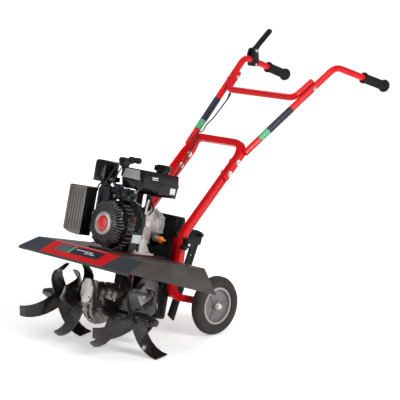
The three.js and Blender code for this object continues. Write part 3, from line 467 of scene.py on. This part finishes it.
# The muffler shield's sides are black, behind its front edge.
FRONT_EDGE = -0.045  # metres from the tine shaft
heat_mesh = NODES["muffler_shield"].data
heat_mesh.materials.append(BLACK_PAINT)
for polygon in heat_mesh.polygons:
    faces_sideways = abs(polygon.normal.x) > 0.7 and polygon.normal.dot(BACK) > -0.5
    if faces_sideways and (polygon.center - SHAFT).dot(BACK) > FRONT_EDGE:
        polygon.material_index = 1

# The engine frame is black at the back, above the deck; the rest of its top is red paint darkened to dark
# red, painted shade under the engine.
frame_mesh = NODES["engine_frame"].data
for paint in (BLACK_PAINT, RED_PAINTED_SHADE):
    frame_mesh.materials.append(paint)
FRAME_BACK, DECK_TOP = 190, 199
to_chassis = CHASSIS.inverted()
for polygon in frame_mesh.polygons:
    spot = to_chassis @ polygon.center
    if spot.y > FRAME_BACK and spot.z > 140:
        polygon.material_index = 1
    elif spot.z > DECK_TOP:
        polygon.material_index = 2

# ---------------------------------------------------------------- wheels
LUGS, LUG_HALF_ANGLE, LUG_STAGGER = 36, 0.052, 0.087
SPOKES = 3


def tread_profile(half, radius):
    """The tyre's section: one half from its bead to the middle, and the same mirrored."""
    one_side = [
        (70, -half + 8), (76, -half + 2.5), (84, -half), (94, -half + 0.8), (101, -half + 4),
        (104, -half + 8), (radius - 2.2, -half + 12), (radius - 0.6, -half + 16),
        (radius - 0.6, -7), (radius - 3.5, -6), (radius - 3.5, -4.4), (radius - 0.2, -3.4),
    ]
    return one_side + [(r, -along) for r, along in reversed(one_side)]


def make_tyre(hand, hub, half, radius):
    tyre = Build()
    tyre.lathe("x", tread_profile(half, radius), tuple(hub), 96)
    lug = [
        (radius - 2.5, 7.5), (radius - 0.1, 7.5), (radius - 0.3, half - 15),
        (100.5, half - 4.2), (98, half - 5),
    ]
    for i in range(LUGS):
        turn = 2 * math.pi * i / LUGS
        for edge in (-1, 1):
            sections = []
            for offset in (-LUG_HALF_ANGLE, LUG_HALF_ANGLE):
                angle = turn + offset + (LUG_STAGGER if edge > 0 else 0)
                sections.append([
                    (hub.x + edge * along, hub.y + r * math.cos(angle), hub.z + r * math.sin(angle))
                    for r, along in lug
                ])
            tyre.loft(sections)
    tyre.done("tyre_tread_" + hand, "wheel_" + hand, TYRE, LEVEL, 0.0, 35, ("tyre_" + hand,))


def make_rim(hand, side, hub, half):
    rim = Build()
    centre = tuple(hub)
    rim.lathe("x", [
        (58, -8), (61, -half + 8), (69.8, -half + 7), (69.8, half - 7),
        (66, half - 6), (63, half - 7), (60, 3), (56, -2),
    ], centre, 72)
    if side > 0:
        hub_profile = [(7, -half), (15, -half), (17, -6), (17, half - 10), (15, half - 5), (7, half - 5)]
    else:
        hub_profile = [(7, -half + 5), (15, -half + 5), (17, 6), (15, half), (7, half)]
    rim.lathe("x", hub_profile, centre, 40)
    rim.lathe("x", [(12, -3.5), (60, -3.5), (60, 3), (12, 3)], centre, 72)
    for i in range(SPOKES):
        angle = 2 * math.pi * i / SPOKES
        c, s = math.cos(angle), math.sin(angle)
        sections = []
        for r, wide, deep in ((14, 9, 9), (30, 5, 8), (60, 5, 8)):
            sections.append([
                (hub.x + side * along, hub.y + r * c - across * s, hub.z + r * s + across * c)
                for across, along in ((-wide, 0), (-wide * 0.7, deep), (wide * 0.7, deep), (wide, 0))
            ])
        rim.loft(sections)
    rim.done("rim_spokes_" + hand, "wheel_" + hand, RIM, LEVEL, 0.8, 30, ("rim_" + hand,))


def make_ring_and_washer(hand, side, hub, half):
    ring = Build()
    face = side * (half - 6.5)
    inner, outer = face - side * 3, face + side * 0.9
    ring.lathe("x", [(61.5, inner), (61.5, outer), (66.5, outer), (66.5, inner)], tuple(hub), 72)
    ring.done("rim_ring_" + hand, "wheel_" + hand, RIM_PALE, LEVEL, 0.5)
    washer = Build()
    washer.rod(
        (hub.x + side * (half - 4.6), hub.y, hub.z),
        (hub.x + side * (half - 3.4), hub.y, hub.z), 12.5, 32,
    )
    washer.done("hub_washer_" + hand, "wheel_" + hand, ZINC, LEVEL, 0.3)


for side, hand in ((1, "left"), (-1, "right")):
    low, high = span("tyre_" + hand, LEVEL)
    hub = (low + high) / 2
    half, radius = (high.x - low.x) / 2, (high.z - low.z) / 2
    make_tyre(hand, hub, half, radius)
    make_rim(hand, side, hub, half)
    make_ring_and_washer(hand, side, hub, half)

# ---------------------------------------------------------------- grips
HANDLE_FOOT, HANDLE_TOP, HANDLE_END = (152, 604, 506.5), (236, 997, 790), (260, 1266, 694.5)
GRIP_LENGTH, GRIP_RADIUS, GRIP_BORE = 132.0, 18.6, 13.2
GRIP_OVERLAP = 128
GRIP_RINGS, RING_PITCH = 18, 5.6


def on_side(side, point):
    """A point of the left handle, or its mirror image."""
    return Vector((side * point[0], point[1], point[2]))


def grip_profile():
    profile = [(GRIP_BORE, 0), (20.5, 0), (22, 1.5), (22, 5), (GRIP_RADIUS, 8)]
    for i in range(GRIP_RINGS):
        z = 12 + i * RING_PITCH
        groove = GRIP_RADIUS - 1.1
        profile += [(GRIP_RADIUS, z), (groove, z + 1.2), (groove, z + 2.6), (GRIP_RADIUS, z + 3.8)]
    return profile + [
        (GRIP_RADIUS + 1, GRIP_LENGTH - 17), (24.6, GRIP_LENGTH - 12), (25, GRIP_LENGTH - 6),
        (23, GRIP_LENGTH - 1), (17, GRIP_LENGTH + 3.6), (GRIP_BORE, GRIP_LENGTH + 3.9),
    ]


for side, hand in ((1, "left"), (-1, "right")):
    end = on_side(side, HANDLE_END)
    along = (end - on_side(side, HANDLE_TOP)).normalized()
    side_way = along.orthogonal().normalized()
    other = along.cross(side_way)
    start = end - along * GRIP_OVERLAP
    profile = grip_profile()
    sections = []
    for i in range(40):
        t = 2 * math.pi * i / 40
        outward = side_way * math.cos(t) + other * math.sin(t)
        sections.append([start + along * z + outward * r for r, z in profile])
    grip = Build()
    grip.loft(sections, closed=True)
    grip.rod(end + along * 1.5, end + along * 3.2, 13.4, 32)
    grip.done("grip_sleeve_" + hand, "frame", GRIP, LEVEL, 0.0, 30, ("grip_" + hand,))

# ---------------------------------------------------------------- starter housing
CRANK_Z = (CHASSIS.inverted() @ Vector(JOINTS["crank_spin"]["pos_m"])).z
LOBES, LOBE_DEPTH = 9, 0.045
FINS = 44


def scalloped(angle, r):
    """The cover's rim waves in and out; nearer the middle it is round."""
    return r * (1 + (LOBE_DEPTH * math.cos(LOBES * angle) if r > 55 else 0))


recoil = Build()
recoil.lathe("y", [
    (0.01, -44), (41, -44), (60, -43), (74, -38), (81, -30), (83, -22), (79, -12),
    (75, -12), (75, -30), (60, -38), (0.01, -39),
], (0, 0, CRANK_Z), 120, scalloped)
recoil.rod((-46, -32, 352), (-55, -34, 367), 8.6, 20)
recoil.done("recoil_fan_cover", "frame", PLASTIC, CHASSIS, 0.4, 30, ("recoil_cover",))
# The starter cover's fins are the same black plastic as the cover; their grey is a painted highlight.
fins = Build()
for i in range(FINS):
    angle = 2 * math.pi * (i + 0.5) / FINS
    c, s = math.cos(angle), math.sin(angle)
    sections = []
    for r, y, wide in ((42, -49.5, 1.1), (56, -49, 1.5), (68, -46.5, 1.9), (77, -40, 2.1), (82, -31, 2.1)):
        r = scalloped(angle, r)
        sections.append([
            (r * c - w * s, y + d, CRANK_Z + r * s + w * c)
            for w, d in ((-wide, 6.5), (-wide * 0.7, 0), (wide * 0.7, 0), (wide, 6.5))
        ])
    fins.loft(sections)
fins.done("recoil_fins", "frame", FIN_PAINTED_HIGHLIGHT, CHASSIS, 0.0, 30)
ring = Build()
ring.lathe("y", [
    (27, -43), (27, -50), (31, -52.5), (39, -51.5), (42.5, -48.5), (42.5, -43),
], (0, 0, CRANK_Z), 64)
ring.done("recoil_ring", "frame", RING_GREY, CHASSIS, 0.3)
badge = Build()
badge.lathe("y", [
    (0.01, -43), (0.01, -51.4), (14, -51.2), (25, -50), (27.6, -48), (27.6, -43),
], (0, 0, CRANK_Z), 48)
badge.done("recoil_badge", "frame", RED_PLASTIC, CHASSIS, 0.3)
screws = Build()
for i in range(3):
    angle = 2 * math.pi * i / 3 + 0.6
    screws.bolt((72 * math.cos(angle), -30, CRANK_Z + 72 * math.sin(angle)), (0, -1, 0), 8, 4)
screws.done("starter_screws", "frame", ZINC, CHASSIS, 0.3)

# ---------------------------------------------------------------- starter rope
ROPE = [
    (-52.3, -33.3, 362), (-56.4, -34.2, 368.4), (-60, -34, 378), (-64, -28, 400), (-61, -16, 434),
    (-55, 0, 470), (-48, 16, 504), (-42, 28, 522), (-35, 33, 527), (-20, 33, 527), (-12, 26, 527),
    (-4, 13, 521), (8, 2, 514), (20, -0.5, 512), (27, 3.6, 517), (28, 9.6, 522.3), (28, 16.4, 526.9),
]
ROPE_RADIUS = 3.2
rope_line = catmull(ROPE, 10)
rope = Build()
rope.sweep(rope_line, ROPE_RADIUS, 12)
cord = rope.done("starter_cord", None, RUBBER, CHASSIS, 0.0, 40, ("starter_rope",))
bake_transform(cord)

GRASP = (28, 27, 534)
grip_bar = Build()
grip_bar.lathe("x", [
    (0.01, -27), (8, -27), (10.8, -24), (11, -10), (9.6, -4),
    (9.6, 4), (11, 10), (10.8, 24), (8, 27), (0.01, 27),
], GRASP, 32)
grip_bar.rod(GRASP, (28, 17, 527.2), 7.6, 20, 6.4)
grip_bar.done("starter_grip", "starter", SOFT_PLASTIC, CHASSIS, 0.5)
guide = Build()
guide.prism("x", [(20, 505), (46, 505), (46, 530), (40, 538), (26, 538), (20, 530)], -40, -16)
guide.lathe("x", [(5, -22), (10, -22), (11, -18), (11, 8), (10, 12), (5, 12)], (-30, 33, 527), 32)
guide.done("rope_guide", "frame", PLASTIC, CHASSIS, 1.0)

# ---------------------------------------------------------------- clutch cable
CABLE = [
    (-255.5, 1022, 778), (-255.5, 1000, 776), (-254, 960, 750), (-247, 922, 722), (-238, 903, 704),
    (-226, 888, 692), (-208, 874, 680), (-190, 862, 675), (-178, 852, 663), (-166, 828, 648),
    (-150, 780, 624), (-133, 716, 589), (-118, 660, 566), (-110, 638, 552), (-105, 620, 545.5),
    (-103, 606, 546), (-101, 593.5, 539), (-99.5, 586.5, 521), (-99.5, 581, 505), (-99.5, 548, 470),
    (-99.5, 500, 420), (-99.5, 440, 364), (-99, 392, 326), (-97, 356, 306), (-94, 338, 298),
    (-92, 331.5, 292),
]
CABLE_RADIUS = 2.6
cable_line = catmull(CABLE, 8)
cable = Build()
cable.sweep(cable_line, CABLE_RADIUS, 12)
cable.rod((-178, 852, 663), (-164, 823, 645), 4.6, 16, 3.4)
cable.rod(cable_line[-1], cable_line[-5], 5.2, 16, 3.2)
bowden = cable.done("clutch_cord", "frame", RUBBER, LEVEL, 0.3, 40, ("clutch_cable",))

# ---------------------------------------------------------------- shield decals
SLOPE_FRONT, SLOPE_BACK = -163.6, -92.4
SLOPE_RISE = 42 / 72
INSET_LOW, INSET_HIGH = -138, -99
BAR_WIDTH = 5


def on_slope(x, y, lift):
    """A point on the shield's front slope, lifted off the sheet."""
    return (x, y - 0.504 * lift, 160 + (y + 164) * SLOPE_RISE + 0.864 * lift)


def slope_patch(name, outline, lift, material):
    patch = Build()
    patch.loft([[on_slope(x, y, h) for x, y in outline] for h in (0.2, lift + 0.3)])
    patch.done(name, "frame", material, CHASSIS, 0.0)


def inset_patch(name, x0, x1, material):
    outline = [(x0, INSET_LOW), (x1, INSET_LOW), (x1, INSET_HIGH), (x0, INSET_HIGH)]
    slope_patch("shield_inset_" + name, outline, 0.9, material)


# The shield's front slope beside the red panel: the charcoal coat with painted shade.
slope_patch("shield_front_left", [
    (155, SLOPE_FRONT), (292, SLOPE_FRONT), (275.4, SLOPE_BACK), (155, SLOPE_BACK),
], 0.5, CHARCOAL_PAINTED_SHADE)
slope_patch("shield_front_right", [
    (-292, SLOPE_FRONT), (-175, SLOPE_FRONT), (-175, SLOPE_BACK), (-275.4, SLOPE_BACK),
], 0.5, CHARCOAL_PAINTED_SHADE)
slope_patch("shield_red_panel", [
    (-175, SLOPE_FRONT), (155, SLOPE_FRONT), (160, SLOPE_BACK), (-180, SLOPE_BACK),
], 0.6, RED)
red_strip = Build()
red_strip.prism("z", [(-180, SLOPE_BACK), (160, SLOPE_BACK), (158, -66), (-190, -76)], 202.2, 203.0)
red_strip.done("shield_red_strip", "frame", RED, CHASSIS, 0.0)
inset_patch("slate", -131, -62, SLATE_PRINT)
inset_patch("green", -62, -50, GREEN_PRINT)
inset_patch("navy", -50, 100, NAVY_PRINT)

marks = Build()
for y, spans in ((-115, ((-38, -20), (-16, 2), (6, 24), (28, 46))), (-124, ((14, 30), (34, 62)))):
    for x0, x1 in spans:
        outline = ((x0, y), (x1, y), (x1, y + BAR_WIDTH), (x0, y + BAR_WIDTH))
        marks.loft([[on_slope(x, b, h) for x, b in outline] for h in (1.0, 1.6)])
marks.done("shield_inset_bars", "frame", PALE_PRINT, CHASSIS, 0.0)

shield_bolts = Build()
for x in (-250, -110, 110, 250):
    shield_bolts.bolt((x, 150, 202), (0, 0, 1), 8, 3.5)
shield_bolts.done("shield_bolts", "frame", BLACK_PAINT, CHASSIS, 0.3)

# ---------------------------------------------------------------- handle decals and fasteners
LEG_BOLTS = ((517, 430), (561, 467))
for side, hand in ((1, "left"), (-1, "right")):
    low_end = on_side(side, HANDLE_FOOT)
    way = (on_side(side, HANDLE_TOP) - low_end).normalized()
    for tone, material, start, end in (("green", GREEN_PRINT, 64, 112), ("navy", NAVY_PRINT, 112, 240)):
        band = Build()
        band.rod(low_end + way * start, low_end + way * end, 13.3, 32)
        band.done("handle_" + tone + "_" + hand, "frame", material, LEVEL, 0.0)
    bolts = Build()
    bolts.bolt((side * 225, 892, 715), (side, 0, 0), 9, 4)
    bolts.bolt((side * 177, 892, 722), (-side, 0, 0), 9, 4)
    for y, z in LEG_BOLTS:
        bolts.rod((side * 104, y, z), (side * 147, y, z), 4, 16)
        bolts.bolt((side * 146.8, y, z), (side, 0, 0), 12, 5)
        bolts.bolt((side * 108.8, y, z), (-side, 0, 0), 12, 6)
    bolts.done("handle_bolt_set_" + hand, "frame", ZINC, LEVEL, 0.3, 32, ("handle_bolts_" + hand,))

LEVER_X, LEVER_Y, LEVER_Z = -241, 1052, 812
LEVER_RISE = math.radians(37.4)


def on_lever(x, along):
    """A point at a distance from the lever's pin, along its arm."""
    return (x, LEVER_Y + along * math.cos(LEVER_RISE), LEVER_Z + along * math.sin(LEVER_RISE))


lever_ribs = Build()
for i in range(9):
    lever_ribs.rod(on_lever(-249, 36 + 10 * i), on_lever(-233, 36 + 10 * i), 8.6, 16)
lever_ribs.rod(on_lever(LEVER_X, 122), on_lever(LEVER_X, 112), 9, 20)
lever_ribs.done("lever_ribs", "clutch", SOFT_PLASTIC, LEVEL, 0.5)
lever_trim = Build()
lever_trim.bolt((-224.6, 1050, 756), (1, 0, 0), 6, 3)
lever_trim.bolt((-224.6, LEVER_Y, LEVER_Z), (1, 0, 0), 7, 2.5)
lever_trim.done("lever_screws", "frame", ZINC, LEVEL, 0.3)

knob_screw = Build()
knob_screw.rod((156.5, 295.5, 202), (159.5, 295.5, 202), 6, 20, 5)
knob_screw.done("knob_screw", "knob", ZINC, LEVEL, 0.3)

# ---------------------------------------------------------------- gearbox fasteners
gear_bolts = Build()
for x, z in ((-19, 34), (19, 34), (-19, 78), (19, 78)):
    gear_bolts.bolt((x, -70, z), (0, -1, 0), 6, 3, washer=False)
for i in range(7):
    angle = math.radians(150 + 40 * i)
    for side in (-1, 1):
        place = (side * 7, 58 * math.cos(angle), 58 * math.sin(angle))
        gear_bolts.bolt(place, (side, 0, 0), 5.5, 3, washer=False)
gear_bolts.done("gearbox_bolts", "frame", ZINC, CHASSIS, 0.2)
seals = Build()
for side in (-1, 1):
    seals.rod((side * 43.6, 0, 0), (side * 45.4, 0, 0), 20, 32)
seals.done("shaft_seals", "frame", RUBBER, CHASSIS, 0.3)

# ---------------------------------------------------------------- engine shroud and small parts
shroud = Build()
shroud.prism("y", [(-56, 240), (52, 240), (60, 250), (60, 352), (50, 374), (-56, 374)], 28, 96)
shroud.prism("y", [(26, 212), (58, 212), (58, 250), (26, 250)], 40, 100)
shroud.prism("y", [(-30, 372), (40, 372), (34, 390), (-26, 390)], 34, 80)
for i in range(6):
    shroud.box(57, 63.5, 32 + 7 * i, 35.5 + 7 * i, 284, 342)
shroud.box(40, 66, 74, 92, 300, 348)
shroud.box(54, 68, 60, 72, 336, 360)
shroud.done("engine_shroud", "frame", PLASTIC, CHASSIS, 1.2)

intake = Build()
intake.prism("y", [(-112, 366), (-56, 366), (-56, 408), (-66, 424), (-104, 424), (-112, 412)], 6, 52)
intake.rod((-100, 30, 420), (-118, 34, 446), 17, 24)
intake.rod((-84, 4, 392), (-84, 12, 392), 15, 24)
intake.sweep(catmull([(-66, 30, 410), (-40, 28, 418), (-20, 36, 412)], 6), 12, 20)
intake.bolt((-104, 6, 376), (0, -1, 0), 7, 3)
intake.bolt((-64, 6, 414), (0, -1, 0), 7, 3)
intake.done("intake_elbow", "frame", DARK_CAST, CHASSIS, 1.5)

# The housing's vents carry the same painted highlight grey as the fins.
housing_vents = Build()
for i in range(11):
    angle = math.radians(-62 + 12 * i)
    c, s = math.cos(angle), math.sin(angle)
    housing_vents.loft([
        [(r * c - w * s, y, CRANK_Z + r * s + w * c) for r, w in ((84, -2.6), (89, -2), (89, 2), (84, 2.6))]
        for y in (-7, 24)
    ])
housing_vents.done("housing_vents", "frame", FIN_PAINTED_HIGHLIGHT, CHASSIS, 0.4)

PULLEY_Z, BOSSES, BOSS_CIRCLE = 318, 6, 50


def boss(i):
    """The x and z of one of the bosses on the flange round the output."""
    angle = 2 * math.pi * (i + 0.5) / BOSSES
    return BOSS_CIRCLE * math.cos(angle), PULLEY_Z + BOSS_CIRCLE * math.sin(angle)


case_bosses = Build()
for i in range(BOSSES):
    x, z = boss(i)
    case_bosses.rod((x, 176, z), (x, 205, z), 7, 20)
case_bosses.lathe("y", [
    (40, 116), (50.5, 116), (50.5, 121), (47, 124), (47, 150), (40, 150),
], (0, 0, PULLEY_Z), 64)
case_bosses.lathe("y", [(30, 203), (46, 203), (44, 208), (32, 209.5)], (0, 0, PULLEY_Z), 64)
case_bosses.done("case_bosses", "frame", CASTING, CHASSIS, 0.8)
case_heads = Build()
for i in range(BOSSES):
    x, z = boss(i)
    case_heads.bolt((x, 176, z), (0, -1, 0), 8, 4)
for side in (-1, 1):
    for y in (72, 140):
        case_heads.bolt((side * 58, y, 215), (0, 0, 1), 9, 4)
case_heads.done("case_bolt_heads", "frame", ZINC, CHASSIS, 0.3)

leg_web = Build()
leg_web.prism("x", [(84, 262), (118, 262), (148, 216), (62, 216)], 46, 54)
leg_web.rod((40, 112, PULLEY_Z), (62, 112, PULLEY_Z), 13, 24)
leg_web.done("case_leg_web", "frame", CASTING, CHASSIS, 1.0)

# ---------------------------------------------------------------- tank trim and its painted reflection
tank_trim = Build()
tank_outline = [
    (-31.5, 32), (-31.5, 213), (-24, 222.5), (75, 222.5), (82.5, 213), (82.5, 32), (75, 24.5), (-24, 24.5),
]
tank_trim.prism("z", tank_outline, 461.5, 466)
tank_trim.done("tank_seam", "frame", PLASTIC, CHASSIS, 1.2)
# A pale patch on the tank's upper front facet: a painted reflection of the light above, laid on the same
# black gloss plastic.
tank_face = Build()
tank_face.loft([
    [(-22, y, 469), (68, y, 469), (60, y + 3, 502), (-14, y + 3, 502)] for y in (26.6, 25.6)
])
tank_face.done("tank_front_painted_reflection", "frame", PAINTED_REFLECTION_GREY, CHASSIS, 0.0)
labels = Build()
labels.box(81.0, 81.7, 74, 104, 482, 485.5)
labels.box(81.0, 81.7, 76, 104, 476, 479)
labels.box(81.0, 81.7, 172, 198, 434, 456)
labels.done("tank_labels", "frame", PALE_PRINT, CHASSIS, 0.0)
plate_label = Build()
plate_label.box(57, 61, 46, 90, 244, 274)
plate_label.done("engine_label", "frame", PALE_PRINT, CHASSIS, 0.0)

# ---------------------------------------------------------------- air cleaner and muffler shield trim
louvres = Build()
for i in range(6):
    z = 454 + 8.5 * i
    louvres.box(-142, -126, 3.2, 7, z, z + 4)
    louvres.box(-119, -103, 3.2, 7, z, z + 4)
louvres.done("air_cleaner_louvres", "frame", PLASTIC, CHASSIS, 0.8)
heat_screws = Build()
for x, z in ((-190, 402), (-124, 402), (-192, 256)):
    heat_screws.bolt((x, -50.5, z), (0, -1, 0), 8, 3)
heat_screws.done("muffler_shield_screws", "frame", HEAT_BLACK, CHASSIS, 0.3)

# ---------------------------------------------------------------- hoses, wires and linkages
HOSES = (
    (3.0, [(-116, 4, 402), (-108, 0, 424), (-92, 4, 436), (-72, 16, 430), (-56, 34, 420)]),
    (2.2, [(92, 26, 340), (88, 30, 366), (74, 30, 378), (36, 30, 388), (-20, 24, 388), (-60, 24, 380)]),
    (3.4, [(30, 60, 434), (34, 40, 420), (26, 22, 404), (4, 20, 396), (-24, 30, 392)]),
    (2.6, [(-60, 26, 452), (-46, 10, 442), (-28, 8, 428), (-14, 14, 410), (-10, 24, 396)]),
    (2.4, [(-44, -24, 366), (-52, -18, 396), (-47, -4, 430), (-38, 12, 468), (-30, 26, 504), (-26, 34, 520)]),
    (2.6, [(70, 100, 350), (66, 120, 372), (50, 124, 392), (44, 110, 416)]),
)
wires = Build()
for radius, points in HOSES:
    wires.sweep(catmull(points, 8), radius, 10)
wires.done("hoses_and_wires", "frame", RUBBER, CHASSIS, 0.0)
links = Build()
links.rod((-20, 24, 436), (34, 24, 430), 1.3, 10)
links.rod((-46, 24, 398), (40, 24, 400), 1.2, 10)
links.rod((66, 28, 388), (72, 60, 378), 1.3, 10)
links.rod((44, 26, 424), (74, 28, 384), 1.6, 10)
for x, z in ((-40, 396), (66, 424), (66, 394), (-44, 424)):
    links.bolt((x, 21.5, z), (0, -1, 0), 6, 3)
links.rod((14, 40, 404), (40, 40, 404), 9, 20)
links.rod((60, 88, 352), (66, 88, 404), 5, 14)
links.done("carburetor_links", "frame", STEEL, CHASSIS, 0.2)

# ---------------------------------------------------------------- floor
floor_mesh = bpy.data.meshes.new("floor")
reach = 30
corners = [(-reach, -reach, 0), (reach, -reach, 0), (reach, reach, 0), (-reach, reach, 0)]
floor_mesh.from_pydata(corners, [], [(0, 1, 2, 3)])
floor_mesh.materials.append(FLOOR)
floor = bpy.data.objects.new("floor", floor_mesh)
floor.location.z = GROUND
bpy.context.scene.collection.objects.link(floor)
